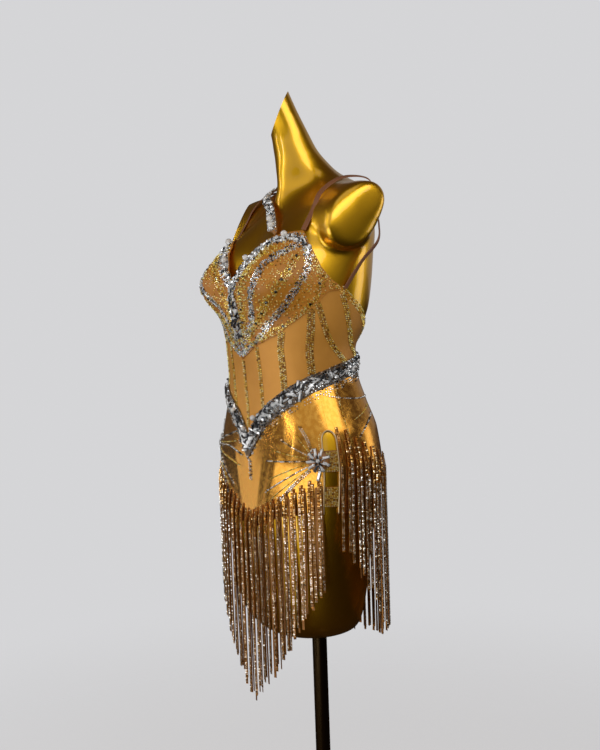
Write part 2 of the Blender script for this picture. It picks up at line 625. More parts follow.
def pour(tray, material, smooth=False):
    """One mesh of all the solids on a tray."""
    points, corners, sizes, first = [], [], [], 0
    for solid, shape_corners, shape_sizes in trays[tray]:
        count, each = solid.shape[:2]
        points.append(solid.reshape(-1, 3))
        corners.append((shape_corners[None, :] + (np.arange(count) * each)[:, None]).ravel() + first)
        sizes.append(np.tile(shape_sizes, count))
        first += count * each
    return new_piece(tray, *(np.concatenate(part) for part in (points, corners, sizes)), material, smooth)


# The dress form: one smooth shell with its arm stubs blended in and the neck cut on a slant.
CREASE_ROUNDS, CREASE_REACH = 120, 18.0
NECK_ROOT_Z, NECK_ROOT_REACH, NECK_ROOT_RADIUS = 318.0, 26.0, 85.0
FORM_VOXEL, BLEND_ROUNDS, STUB_SIDES = 4.0, 8, 48


def stub_axes():
    """The arm stub's own directions: outwards, then along and across its leaning oval, in unit rings."""
    axis = unit(STUB_TO - STUB_FROM)
    across = unit(np.cross(axis, (0, 0, 1)))
    rise = np.cross(across, axis)
    lean = np.radians(STUB_LEAN)
    return (axis, (rise * np.sin(lean) - across * np.cos(lean)) * STUB_LONG,
            (rise * np.cos(lean) + across * np.sin(lean)) * STUB_SHORT)


def crease_share(points):
    """How near points are to the creases at the arm stubs and at the neck's root, from 0 to 1."""
    share = np.zeros(len(points))
    axis, long_way, short_way = stub_axes()
    length = np.linalg.norm(STUB_TO - STUB_FROM)
    for side, _ in SIDES:
        from_root = points * (side, 1, 1) - STUB_FROM
        ahead = from_root @ axis
        off = np.hypot(from_root @ long_way / STUB_LONG**2, from_root @ short_way / STUB_SHORT**2)
        radius = np.interp(ahead / length, [r.along for r in STUB_RINGS], [r.radius for r in STUB_RINGS])
        near = np.exp(-((off - radius) / CREASE_REACH)**2) * np.clip(1.6 - 2.4 * ahead / length, 0, 1)
        share = np.maximum(share, near)
    middle = np.hypot(points[:, 0], points[:, 1] - section("centre_y", points[:, 2]))
    neck_root = np.exp(-((points[:, 2] - NECK_ROOT_Z) / NECK_ROOT_REACH)**2 - (middle / NECK_ROOT_RADIUS)**4)
    return np.maximum(share, neck_root)


def worked_out(obj, *spent):
    """The mesh that an object's modifiers make; the object and the others are removed."""
    mesh = bpy.data.meshes.new_from_object(obj.evaluated_get(bpy.context.evaluated_depsgraph_get()))
    for old in (obj, *spent):
        bpy.data.objects.remove(old)
    return mesh


def form_shell():
    """The torso and its stubs as one shell: joined, made even, blended in the creases and cut at the neck."""
    phis = np.arange(0, 360, 3.0)
    levels = np.unique(np.concatenate((LEVELS, np.arange(-430, 476, 7.0))))
    grid = on_body(phis[None, :], levels[:, None], -FORM_INSET)
    torso = new_piece("torso_rough", grid.reshape(-1, 3), *tube_corners(len(levels), len(phis)), GOLD_FORM)
    _, long_way, short_way = stub_axes()
    turn = round_turn(STUB_SIDES)[:, None]
    rings = np.concatenate([STUB_FROM + (STUB_TO - STUB_FROM) * r.along
                            + (long_way * np.cos(turn) + short_way * np.sin(turn)) * r.radius for r in STUB_RINGS])
    stubs = [new_piece("stub_rough", rings * (side, 1, 1), *tube_corners(len(STUB_RINGS), STUB_SIDES), GOLD_FORM)
             for side, _ in SIDES]
    for obj in stubs:
        fix = bmesh.new()
        fix.from_mesh(obj.data)
        bmesh.ops.recalc_face_normals(fix, faces=fix.faces)
        fix.to_mesh(obj.data)
        fix.free()
        join = torso.modifiers.new("join", "BOOLEAN")
        join.operation, join.solver, join.object = "UNION", "EXACT", obj
    remesh = torso.modifiers.new("even", "REMESH")
    remesh.mode, remesh.voxel_size, remesh.use_smooth_shade = "VOXEL", FORM_VOXEL * MM, True
    blend = torso.modifiers.new("blend", "SMOOTH")
    blend.factor, blend.iterations = 0.5, BLEND_ROUNDS
    whole = worked_out(torso, *stubs)
    spots = np.empty(len(whole.vertices) * 3)
    whole.vertices.foreach_get("co", spots)
    shares = crease_share(spots.reshape(-1, 3) / MM - (0, BODY_Y, WAIST_HEIGHT))
    rough = linked("torso_rough", whole)
    creases = rough.vertex_groups.new(name="creases")
    for k in np.flatnonzero(shares > 0.02):
        creases.add([int(k)], float(shares[k]), "REPLACE")
    blend = rough.modifiers.new("blend", "SMOOTH")
    blend.factor, blend.iterations, blend.vertex_group = 0.5, CREASE_ROUNDS, creases.name
    whole = worked_out(rough)
    cut = bmesh.new()
    cut.from_mesh(whole)
    made = bmesh.ops.bisect_plane(
        cut, geom=cut.verts[:] + cut.edges[:] + cut.faces[:], plane_co=place(NECK_TIP),
        plane_no=unit(np.array(NECK_CUT_NORMAL)), clear_outer=True)
    bmesh.ops.contextual_create(cut, geom=[e for e in made["geom_cut"] if isinstance(e, bmesh.types.BMEdge)])
    for face in cut.faces:
        face.smooth = True
    cut.to_mesh(whole)
    cut.free()
    whole.materials.clear()
    whole.materials.append(GOLD_FORM)
    obj = linked("dress_form", whole)
    soften(obj, 35)
    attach(obj, "root")
    stand_for(obj, "form_torso")


form_shell()

# The stand: turned round the pole's line, from radii and heights above the floor.
POLE = table("radius height", (12.0, 10.6), (12.5, 11.2), (12.5, 690), (14.2, 690.5), (14.2, 699), (13.4, 699.7))
BASE = table(
    "radius height", (168.0, 0.0), (169.6, 0.8), (170.0, 2.2), (169.6, 5.8), (168.4, 7.4), (166.0, 8.0), (60.0, 8.3),
    (34.0, 8.8), (29.0, 10.5), (26.6, 13.5), (26.0, 18.0), (26.0, 46.0), (25.3, 48.6), (23.5, 49.9), (14.6, 50.0),
    (12.9, 49.2), (12.9, 10.4))
for name, node, profile in (("pole", "stand_pole", POLE), ("round_base", "stand_base", BASE)):
    turn = np.radians(np.arange(0, 360, 3.75))
    points = np.concatenate([np.column_stack((
        p.radius * np.cos(turn), p.radius * np.sin(turn) - BODY_Y, np.full(len(turn), p.height - WAIST_HEIGHT)))
        for p in profile])
    turned = new_piece(name, points, *tube_corners(len(profile), len(turn)), STAND_GOLD)
    soften(turned, 30)
    stand_for(turned, node)


# The cloth panels.
def cup_low(phi): return along(CUP_FOOT, phi)
def cup_high(phi): return along(NECKLINE, phi)
def net_low(phi): return along(BAND_LINE, phi) + GAP / 2
def band_low_edge(phi): return along(BAND_LINE, phi) - GAP / 2
def hem(phi): return along(SKIRT_HEM, phi)


def net_high(phi):
    return np.where(np.abs(wrapped(phi)) <= CUP_FOOT[-1].phi, along(CUP_FOOT, phi) - GAP, along(SIDE_TOP, phi))


def draw_back(sign):
    return lambda phi, z: sign * slit_open(z) * np.maximum(0, 1 - np.abs(phi - SLIT) / SLIT_FADE)


CREASE = "phi z lean length width height"
SKIRT_CREASES = table(
    CREASE, (57, -75, 6, 60, 3.2, 0.8), (63, -60, 4, 45, 2.4, 0.6), (82, -55, 3, 50, 3.0, 0.8),
    (92, -70, 8, 60, 3.5, 0.7), (35, -150, 9, 55, 4.5, 0.7), (18, -170, 6, 40, 4.0, 0.5),
    (-20, -160, -7, 50, 4.2, 0.7), (-48, -110, -8, 60, 4.0, 0.8), (-75, -70, -6, 50, 3.6, 0.8),
    (-95, -90, -4, 60, 4.0, 0.7), (120, -60, 7, 60, 4.5, 0.8), (150, -50, 8, 55, 4.5, 0.7),
    (176, -70, 0, 70, 4.0, 0.6), (205, -55, -8, 55, 4.5, 0.8), (235, -65, -6, 50, 4.0, 0.7))
NET_CREASES = table(
    CREASE, (36, 2, 5, 26, 3.0, 0.35), (57, 25, -4, 32, 3.4, 0.4), (86, 48, 8, 28, 4.0, 0.4),
    (-30, 5, -5, 30, 3.4, 0.35), (-62, 25, 5, 30, 3.6, 0.4), (-92, 45, -7, 26, 4.0, 0.4), (140, 35, 6, 22, 5.0, 0.4),
    (215, 36, -6, 22, 5.0, 0.4))


def creased(rows):
    """Soft ridges where the cloth pulls, each with its own lean, length and width."""
    def lift(phi, z):
        total = np.zeros_like(phi)
        for c in rows:
            across = wrapped(phi - c.phi - c.lean * (z - c.z) / c.length)
            total += c.height * np.exp(-(across / c.width)**2 - ((z - c.z) / c.length)**2)
        return total
    return lift


for side, prefix in SIDES:
    phis = columns(CUP_SEAM, 84, 2.0, (NECKLINE, CUP_FOOT))
    panel(f"{prefix}_cup", f"cup_{prefix}", CUP_NET, phis if side > 0 else -phis[::-1], np.linspace(0, 1, 25),
          cup_low, cup_high, CUP_IN, CUP_OUT, away=bridge)
for name, node, start, end in (
        ("front_midriff", "midriff_front", -PANEL_SEAM + SEAM, PANEL_SEAM - SEAM),
        ("left_midriff", "midriff_side_left", PANEL_SEAM + SEAM, 180 - SEAM),
        ("right_midriff", "midriff_side_right", 180 + SEAM, 360 - PANEL_SEAM - SEAM)):
    panel(name, node, TAN_NET, columns(start, end, 2.5, (CUP_FOOT, SIDE_TOP, BAND_LINE)), np.linspace(0, 1, 22),
          net_low, net_high, CLOTH_IN, NET_OUT, crease=creased(NET_CREASES))
top, foot = float(band_low_edge(SLIT)), float(hem(SLIT))
SKIRT_ROWS = np.unique(np.concatenate((np.linspace(0, 1, 26), (np.arange(-96, -78, 2.0) - foot) / (top - foot))))
for name, node, start, end, sign in (
        ("skirt_front_panel", "skirt_front", SIDE_SEAM + SEAM, SLIT - SEAM, -1),
        ("skirt_back_panel", "skirt_back", SLIT + SEAM, SIDE_SEAM + 360 - SEAM, 1)):
    panel(name, node, FOIL_GOLD, columns(start, end, 2.2, (SKIRT_HEM, BAND_LINE)), SKIRT_ROWS, hem, band_low_edge,
          CLOTH_IN, SKIRT_OUT, shift=draw_back(sign), crease=creased(SKIRT_CREASES))

for level_name, low, high in (("upper", -141, -109), ("lower", -195, -164)):
    name, half = f"{level_name}_slit_band", SLIT_HALF - SEAM * 2
    panel(name, f"slit_band_{level_name}", CASING, np.linspace(SLIT - half, SLIT + half, 7), np.linspace(0, 1, 13),
          lambda phi: np.full_like(phi, low), lambda phi: np.full_like(phi, high), CLOTH_IN, NET_OUT)
    phi, z = (g.ravel() for g in np.meshgrid(
        np.linspace(SLIT - half + 0.45, SLIT + half - 0.45, 8), np.arange(low + 1.8, high - 1, 2.3)))
    phi = phi + rng.uniform(-0.12, 0.12, len(phi))
    set_stones(f"{name}_beads", SMALL_ROUND, phi, z, rng.uniform(0, 3, len(phi)), NET_OUT, (2.3, 2.3, 1.5))


def band_half(phi):
    """Half the waistband's height, taller where it slopes so that its own width is kept."""
    rise = along(BAND_LINE, phi + 2) - along(BAND_LINE, phi - 2)
    level = along(BAND_LINE, phi)
    run = np.linalg.norm(skin(phi + 2, level) - skin(phi - 2, level), axis=-1)
    return BAND_HALF * np.sqrt(1 + (np.minimum(np.abs(rise), run * 1.3) / run)**2)


for side, prefix in SIDES:
    phis = columns(CENTRE_SEAM, 180 - CENTRE_SEAM, 2.5, (BAND_LINE,))
    panel(f"{prefix}_waistband", f"waistband_{prefix}", BAND_NET, phis if side > 0 else -phis[::-1],
          np.linspace(0, 1, 7), lambda phi: along(BAND_LINE, phi) - band_half(phi),
          lambda phi: along(BAND_LINE, phi) + band_half(phi), BAND_IN, BAND_OUT)


# Strips of casing and piping along lines on the skin.
STRIP_PITCH, STRIP_LANES, STRIP_CROWN, CORD_PITCH = 4.0, 5, 0.5, 2.0


def strip(name, material, points, width, inner, outer):
    """A narrow strip of cloth along a line on the skin, slightly crowned."""
    phi, z, heading = trail(points, STRIP_PITCH)
    lanes = np.linspace(-0.5, 0.5, STRIP_LANES) * width
    at = [beside(phi, z, heading, lane) for lane in lanes]
    crown = STRIP_CROWN * (1 - (2 * lanes / width)**4)
    outside = np.stack([on_body(p, h, np.full_like(p, outer - STRIP_CROWN + c)) for (p, h), c in zip(at, crown)], 1)
    inside = np.stack([on_body(p, h, np.full_like(p, inner)) for p, h in at], 1)
    shell(name, outside, inside, material)


def cord_on_body(name, material, points, radius, out, sides=8):
    """A round piping along a line on the skin."""
    phi, z, _ = trail(points, CORD_PITCH)
    line = on_body(phi, z, np.full_like(phi, out))
    ahead = unit(np.gradient(line, axis=0))
    across = unit(np.cross(ahead, outward(phi, z)))
    turn = round_turn(sides)
    rings = (line[:, None] + radius * (across[:, None] * np.cos(turn)[None, :, None]
                                       + np.cross(across, ahead)[:, None] * np.sin(turn)[None, :, None]))
    new_piece(name, rings.reshape(-1, 3), *tube_corners(len(line), sides), material)


def rows_of_stones(tray, points, pitch, size, out, lanes=(0.0,), away=None, jitter=0.0):
    """Small stones along a line on the skin, in one or more lanes beside it."""
    for k, lane in enumerate(lanes):
        phi, z, heading = trail(points, pitch)
        shift = rng.normal(0, jitter, (2, len(phi))) if jitter else np.zeros((2, len(phi)))
        phi, z = beside(phi, z, heading, lane + shift[0], (k % 2) * pitch / 2 + shift[1])
        spin = heading + rng.uniform(0, 3.1, len(phi))
        sizes = np.asarray(size, float) * rng.uniform(0.86, 1.12, (len(phi), 1))
        set_stones(tray, SMALL_ROUND, phi, z, spin, out + (away(phi, z) if away else 0.0), sizes)


def sided(points, side):
    """A line given for the wearer's left, on either side."""
    return tuple((side * phi, z) for phi, z in points)


CASINGS = table(
    "name width lanes points",
    ("centre", 6.5, (-2.0, 2.0), ((0, 27), (-0.9, -11), (-1, -78))),
    ("front", 6.5, (-2.1, 2.1), ((24, 50), (25.2, 13), (25.2, -46))),
    ("side_front", 11.0, (-4.2, -1.4, 1.4, 4.2), ((47.4, 72), (49.2, 20), (49, -16))),
    ("side", 12.0, (-4.8, -1.8, 1.8, 4.8), ((65.2, 106), (69.6, 58), (71, 8))),
    ("side_back", 9.0, (-3.2, 0.2, 3.2), ((69, 115), (81.5, 66), (99.6, 22))),
    ("back", 9.0, (-3.2, 0.2, 3.2), ((85.5, 128), (101.5, 67), (117.5, 26))),
    ("low_back", 8.0, (-2.6, 2.6), ((134, 60), (146, 34), (152, 25))))
ARMHOLE = [(e.phi, e.z - 2.5) for e in SIDE_TOP[1:]] + [(180, SIDE_TOP[-1].z - 2.5)]
for side, prefix in SIDES:
    stones = f"{prefix}_boning_stones"
    for c in CASINGS if side > 0 else CASINGS[1:]:
        points = sided(c.points, side)
        strip(f"{prefix}_{c.name}_casing", CASING, points, c.width, NET_OUT - 0.3, NET_OUT + 0.6)
        rows_of_stones(stones, points, 3.5, (2.9, 2.9, 1.7), NET_OUT + 0.5, c.lanes, jitter=0.12)
    rows_of_stones(stones, sided(ARMHOLE, side), 3.5, (3.0, 3.0, 1.8), NET_OUT, (-3.2, 0.2, 3.6), jitter=0.25)

# The cups' stones, given for the left cup and mirrored for the right.
NECK_PATH = ((2, 144), (6.5, 149), (11.5, 159), (17, 176), (22.5, 191), (28.5, 203), (36, 210.5), (46, 214.5),
             (54, 214.5), (57.5, 204), (60, 192))
CENTRE_PATH = ((4, 146), (5.5, 132), (5.5, 112), (4.5, 88), (3, 66))
CUP_SWATHS = table(
    "stone pitch size width share points",
    ("silver", 3.3, 3.3, 20, 1.0, NECK_PATH),
    ("silver", 3.1, 3.1, 14, 1.0, ((53, 204), (43, 191), (35, 176), (31, 150), (25, 126), (19.4, 90), (15, 74),
                                   (6, 54), (1, 38))),
    ("silver", 3.1, 3.1, 14, 1.0, ((61, 190), (58.7, 163), (53.2, 139), (46.5, 113), (38, 90), (25.5, 60), (12, 44),
                                   (1.5, 35))),
    ("silver", 3.2, 3.1, 15, 1.0, ((3, 147), (4, 136), (5, 115), (5, 90), (3.5, 72), (1.5, 50))),
    ("gold", 3.5, 3.0, 15, 0.95, ((52, 187), (48.7, 166), (45, 152), (41, 136), (35.5, 119), (30, 100), (23, 84),
                                  (14, 62))),
    ("gold", 3.5, 3.0, 14, 0.95, ((37, 203), (26, 180), (18, 155), (14, 133), (11.5, 108), (9.5, 80), (5, 58))),
    ("gold", 3.4, 2.9, 12, 0.95, ((66.5, 172), (70, 150), (67.5, 128), (62, 107), (54, 90), (44, 76), (32, 65),
                                  (18, 52))),
    ("gold", 3.4, 2.9, 9, 0.95, ((64, 188), (70, 163), (77.5, 147), (84, 136.5))))
DARK_STONES = ((52.3, 187), (48.7, 166.5), (45.1, 152.3), (42.4, 135.5), (36.5, 121), (31.5, 104.5), (24.7, 87.5),
               (26, 184), (19, 158), (14.5, 136), (12, 112), (10, 88), (68.5, 145), (64, 114), (48, 82))
CUP_PITCH, LANE_STEP, ROUND_STONE = 4.4, 0.86, (1, 1, 0.62)


def swath_of_stones(tray, points, pitch, size, width, out, away=None, share=1.0):
    """Small stones that fill a band along a line, thinning out towards its edges."""
    for k, lane in enumerate(np.arange(-width / 2 + pitch / 2, width / 2, pitch * LANE_STEP)):
        phi, z, heading = trail(points, pitch)
        jitter = rng.normal(0, pitch * 0.16, (2, len(phi)))
        phi, z = beside(phi, z, heading, lane + jitter[0], (k % 2) * pitch / 2 + jitter[1])
        keep = rng.random(len(phi)) < share * (1.05 - 0.55 * abs(2 * lane / width)**3)
        if away:
            keep &= (z > cup_low(phi) + 1.5) & (z < cup_high(phi) - 1.5) & (np.abs(phi) > 1.2)
        phi, z = phi[keep], z[keep]
        sizes = size * rng.uniform(0.7, 1.15, (len(phi), 1)) * ROUND_STONE
        set_stones(tray, SMALL_ROUND, phi, z, rng.uniform(0, 3.1, len(phi)),
                   out + (away(phi, z) if away else 0.0), sizes)


def cup_field(side):
    """Places of the small gold stones over a whole cup, in drifts: phi and z."""
    places = []
    for row, z in enumerate(np.arange(float(cup_low(0.0)), float(cup_high(57.0)), CUP_PITCH * 0.87)):
        per_degree = metric(np.array(40.0), np.array(z))[0]
        phi = np.arange(1.5 + (row % 2) * 0.5 * CUP_PITCH / per_degree, 84, CUP_PITCH / per_degree)
        drift = 0.5 + 0.4 * np.sin(phi / 5.0 + z / 17.0) * np.cos(z / 11.0 - phi / 9.0)
        keep = (z > cup_low(phi) + 2) & (z < cup_high(phi) - 2) & (rng.random(len(phi)) < drift)
        places.append(np.column_stack((phi, np.full(len(phi), z)))[keep])
    places = np.concatenate(places)
    places += rng.normal(0, 1, places.shape) * (0.35, 0.6)
    return places[:, 0] * side, places[:, 1]


def inside_cup(points):
    """Lines whose ends lie past a cup's edge are drawn in to it."""
    return tuple((phi, min(max(z, float(cup_low(phi)) + 2), float(cup_high(phi)) - 2)) for phi, z in points)


def big_stones(tray, shape, spots, out, away=None, setting=True):
    """Large stones at given places: phi, z, heading in degrees, length, width and height."""
    spots = np.array(spots, float)
    phi, z, heading = spots[:, 0], spots[:, 1], np.radians(spots[:, 2])
    off = out + (away(phi, z) if away else 0.0)
    if setting:
        settings = tray.split("_clear")[0].split("_black")[0] + "_settings"
        set_stones(settings, shape, phi, z, heading, off, spots[:, 3:6] * (1.12, 1.16, 0.42))
    set_stones(tray, shape, phi, z, heading, off + 0.3, spots[:, 3:6])


SCATTER = "stone shape path pitch reach lengths widths height spin lift"


def scatter(prefix, side, rows, out, away=None):
    """Large stones along lines, each a little out of place and out of line, and on a cup kept within its edges."""
    for s in rows:
        phi, z, heading = trail(sided(s.path, side), s.pitch)
        count = len(phi)
        phi, z = beside(phi, z, heading, rng.uniform(-s.reach, s.reach, count), rng.uniform(-1.5, 1.5, count))
        if away:
            z = np.clip(z, cup_low(phi) + 3, cup_high(phi) - 3)
        big_stones(f"{prefix}_{s.stone}_stones", s.shape, np.column_stack((
            phi, z, np.degrees(heading) + rng.uniform(-s.spin, s.spin, count), rng.uniform(*s.lengths, count),
            rng.uniform(*s.widths, count), np.full(count, s.height))), out + s.lift, away)


CUP_SCATTERS = table(
    SCATTER,
    ("clear_long", LONG, NECK_PATH, 6.0, 6.0, (6.5, 10.5), (2.4, 3.2), 2.2, 50, 1.2),
    ("clear_round", LARGE_ROUND, NECK_PATH, 8.0, 6.5, (5.0, 7.0), (5.0, 6.5), 3.0, 90, 1.0),
    ("clear_long", LONG, CENTRE_PATH, 6.5, 4.0, (7, 12), (2.4, 3.4), 2.4, 40, 1.2),
    ("black", LONG, CENTRE_PATH, 17.0, 3.5, (7, 10), (2.6, 3.4), 2.4, 35, 1.4),
    ("clear_round", LARGE_ROUND, CENTRE_PATH, 14.0, 5.0, (4.5, 6), (4.5, 6), 2.8, 90, 1.0))
for side, prefix in SIDES:
    for s in CUP_SWATHS:
        swath_of_stones(f"{prefix}_cup_{s.stone}_stones", sided(inside_cup(s.points), side), s.pitch, s.size, s.width,
                        CUP_OUT, bridge, s.share)
    phi, z = cup_field(side)
    set_stones(f"{prefix}_cup_gold_stones", SMALL_ROUND, phi, z, rng.uniform(0, 3.1, len(phi)),
               CUP_OUT + bridge(phi, z), 2.7 * rng.uniform(0.75, 1.15, (len(phi), 1)) * ROUND_STONE)
    dark = [(side * phi, z, 30 * k, 4.6, 4.6, 2.4) for k, (phi, z) in enumerate(DARK_STONES)]
    big_stones(f"{prefix}_cup_black_stones", LARGE_ROUND, dark, CUP_OUT, bridge)
    scatter(f"{prefix}_cup", side, CUP_SCATTERS, CUP_OUT, bridge)
    pearls = [(side * phi, z, 0, d, d, d) for phi, z, d in ((18, 184, 10), (43, 217, 11), (8, 128, 6))]
    big_stones(f"{prefix}_cup_pearls", PEARL_BALL, pearls, CUP_OUT, bridge, setting=False)

# The waistband: a bed of small silver stones with large ones over it, and a few that stray onto the skirt.
WHOLE_BAND = [(e.phi, e.z) for e in BAND_LINE]
FRONT_BAND, REAR_BAND = [p for p in WHOLE_BAND if p[0] <= 94], [p for p in WHOLE_BAND if p[0] >= 94]
BAND_SCATTERS = table(
    SCATTER,
    ("black", BOAT, [(phi + 1.0, z + 7.5) for phi, z in FRONT_BAND], 11.0, 3.0, (11, 14), (7.5, 9.5), 4.0, 35, 2.0),
    ("clear_boat", BOAT, FRONT_BAND, 11.0, 7.0, (10, 14), (6.5, 8.5), 3.8, 60, 0.8),
    ("clear_long", LONG, FRONT_BAND, 8.0, 9.5, (10, 16), (3.2, 4.4), 3.0, 60, 1.0),
    ("clear_round", LARGE_ROUND, WHOLE_BAND, 9.0, 9.0, (6, 8.5), (6, 8.5), 3.4, 90, 0.6),
    ("clear_boat", BOAT, REAR_BAND, 15.0, 4.0, (8, 11), (5, 7), 3.2, 45, 0.6))
for side, prefix in SIDES:
    swath_of_stones(f"{prefix}_waistband_stones", sided(WHOLE_BAND, side), 3.5, 3.3, 28, BAND_OUT)
    scatter(f"{prefix}_waistband", side, BAND_SCATTERS, BAND_OUT)
    stray = sided([(phi, z - 19) for phi, z in WHOLE_BAND if phi <= 120], side)
    swath_of_stones(f"{prefix}_skirt_silver_stones", stray, 4.4, 2.9, 15, SKIRT_OUT + 0.2, share=0.65)
for prefix, pearls in (("right", ((-24.7, -56, 0, 9.5, 9.5, 9.5), (-6, -84, 0, 7.5, 7.5, 7.5))),
                       ("left", ((13.5, -64, 0, 9.5, 9.5, 9.5),))):
    big_stones(f"{prefix}_waistband_pearls", PEARL_BALL, pearls, BAND_OUT, setting=False)
rows_of_stones("left_skirt_silver_stones", ((3, -134), (4, -163)), 4.0, (3.0, 3.0, 1.8), SKIRT_OUT + 0.2, (-2.2, 2.2))

# The hip ornaments and the rows of stones that spread from them.
ORNAMENT_PHI, ORNAMENT_Z = 67.4, -124
RAY = "stone lanes size points"
LEFT_RAYS = table(
    RAY,
    ("silver", (-1.6, 1.6), 2.9, ((66, -116), (63.7, -104), (61.8, -89.5), (58.6, -74.7))),
    ("gold", (0,), 2.3, ((63, -112), (59, -98), (55.7, -86))),
    ("silver", (0,), 3.1, ((62, -116), (53, -105), (44.5, -95))),
    ("gold", (0,), 2.3, ((60, -120), (48, -116), (36, -111))),
    ("silver", (0,), 3.2, ((60, -125), (45, -128), (30, -130))),
    ("gold", (0,), 2.4, ((60, -130), (47, -144), (35, -156))))
RIGHT_RAYS = table(
    RAY,
    ("silver", (-1.6, 1.6), 2.9, ((66, -116), (63.7, -104), (60, -80))),
    ("silver", (0,), 3.1, ((61, -116), (42, -102), (23, -91))),
    ("gold", (0,), 2.3, ((60, -119), (41, -113), (22, -107))),
    ("silver", (0,), 3.1, ((60, -123), (36, -118), (12, -128))),
    ("gold", (0,), 2.4, ((60, -129), (38, -138), (16, -146))))
BOTH_RAYS = table(
    RAY,
    ("silver", (0,), 3.1, ((61, -134), (45, -158), (28, -180))),
    ("gold", (0,), 2.4, ((62, -137), (48, -165), (34, -190))),
    ("silver", (-1.5, 1.5), 2.9, ((63, -138), (52, -166), (40, -197))),
    ("silver", (0,), 2.8, ((80, -30), (92, -35), (106, -37), (119, -36))),
    ("gold", (0,), 2.2, ((93, -67), (103, -58), (113, -49))),
    ("silver", (0,), 2.8, ((93, -93), (97, -84), (104, -72), (113, -62))))
SLIT_RAY = table(RAY, ("gold", (-1.0,), 2.0, ((86.6, -20), (85.8, -65), (86.8, -100))))
for (side, prefix), rays in zip(SIDES, (LEFT_RAYS + BOTH_RAYS + SLIT_RAY, RIGHT_RAYS + BOTH_RAYS)):
    for ray in rays:
        points = sided(ray.points, side)
        rows_of_stones(f"{'back' if points[0][0] > SLIT else prefix}_skirt_{ray.stone}_stones", points, ray.size * 1.3,
                       (ray.size, ray.size, ray.size * 0.6), SKIRT_OUT + 0.4, ray.lanes,
                       away=creased(SKIRT_CREASES), jitter=0.1)
for side, prefix in SIDES:
    name, phi0, z0 = f"{prefix}_rosette", side * ORNAMENT_PHI, ORNAMENT_Z
    per_degree, per_height = (float(v) for v in metric(np.array(phi0), np.array(z0)))

    def around(r, turn):
        return phi0 + r * np.cos(turn) / per_degree, z0 + r * np.sin(turn) / per_height

    turn = round_turn(30)
    disc = [on_body(*around(r, turn), np.full(30, out)) for r, out in ((15, 3.6), (16, 4.0), (15, 4.6), (7, 5.4))]
    stand_for(new_piece(name, np.concatenate(disc), *tube_corners(4, 30), CASING), f"hip_ornament_{prefix}")
    for count, reach, length, width, lift, stone, shape in (
            (9, 12.5, 11, 4.0, 4.2, "clear_long", LONG), (7, 8.5, 9, 5.0, 5.0, "clear_boat", BOAT),
            (5, 4.6, 8, 5.4, 5.6, "black", BOAT)):
        turn = np.radians(np.arange(count) * 360 / count + rng.uniform(-8, 8, count) + 20)
        phi, z = around(reach + rng.uniform(-1, 1, count), turn)
        big_stones(f"{name}_{stone}_stones", shape, np.column_stack((
            phi, z, np.degrees(turn) + rng.uniform(-12, 12, count), np.full(count, length), np.full(count, width),
            np.full(count, 2.6))), lift)
    big_stones(f"{name}_clear_round_stones", LARGE_ROUND, ((phi0, z0, 0, 6.5, 6.5, 3.6),), 6.2)
    swath_of_stones(f"{name}_stones", ((phi0 - 4.5, z0 + 8), (phi0, z0), (phi0 + 3.5, z0 - 9)), 3.2, 2.8, 24, 4.4,
                    share=0.6)
big_stones("left_rosette_clear_long_stones", LONG, ((67.5, -146, 75, 15, 4.2, 2.8),), 4.6)

# The slit's piping: up its front edge, round the arch and down its back edge.
heights = np.concatenate((np.arange(-206, -96, 8.0), np.arange(-94, -81, 1.6)))
half = slit_open(heights) + 0.25
front_edge = np.column_stack((SLIT - half, heights))
back_edge = np.column_stack((SLIT + half, heights))[::-1]
cord_on_body("slit_piping", TRIM, np.concatenate((front_edge, ((SLIT, SLIT_TOP + 0.6),), back_edge)), 1.3,
             SKIRT_OUT + 0.3)
rows_of_stones("left_skirt_gold_stones", [(p - 1.5, h) for p, h in front_edge[::3]], 3.0, (2.0, 2.0, 1.2), SKIRT_OUT,
               away=creased(SKIRT_CREASES))

# The straps: x, y and z of the elastic ones, then the beaded one's front, its facing and its way over the back.
STRAP_WIDTH, STRAP_THICK, STRAP_MIDDLE = 8.6, 1.4, (75.0, 25.0, 240.0)
FRONT_STRAPS = (
    ((101, -29, 259), (102.2, -14.6, 286.4), (107, 15, 307), (115, 42, 312), (125, 63, 306)),
    ((95, -32, 254), (91.7, -17.6, 279.4), (92.6, 4.6, 299.6), (98, 26, 307), (106, 47, 308.5), (118, 67, 303)))
UNDER_ARM = ((124, 74, 286), (127, 74, 261), (135, 72, 235), (142, 63, 209), (144, 29, 178))
BEADED_WIDTH, BEADED_THICK = 16.0, 1.8
BEADED_FRONT = ((58, -77.6, 229.0), (56.5, -77, 232.4), (30, -60.5, 249), (3, -45, 269.5), (-38.5, -24.5, 291.5))
FRONT_FACING = (
    (0.6, -0.75, 0.25), (0.6, -0.75, 0.25), (0.55, -0.75, 0.3), (0.42, -0.8, 0.35), (0.25, -0.78, 0.55))
OVER_SHOULDER = np.array((
    (-70, 305.5, 4), (-84, 314, 4), (-103, 316.5, 4), (-121, 312, 3.6), (-136, 299, 3.2), (-149, 275, 2.6),
    (-158, 240, 1.8), (-164, 192, 1.2), (-166, 130, 0.8), (-165, 85, 0.8), (-164, 44.8, 0.8)))
STRAP_OUTLINE = ((-0.5, 0.25), (-0.47, 0.0), (0.47, 0.0), (0.5, 0.25), (0.5, 0.75), (0.44, 1.0), (0.2, 0.9),
                 (-0.2, 0.9), (-0.44, 1.0), (-0.5, 0.75))


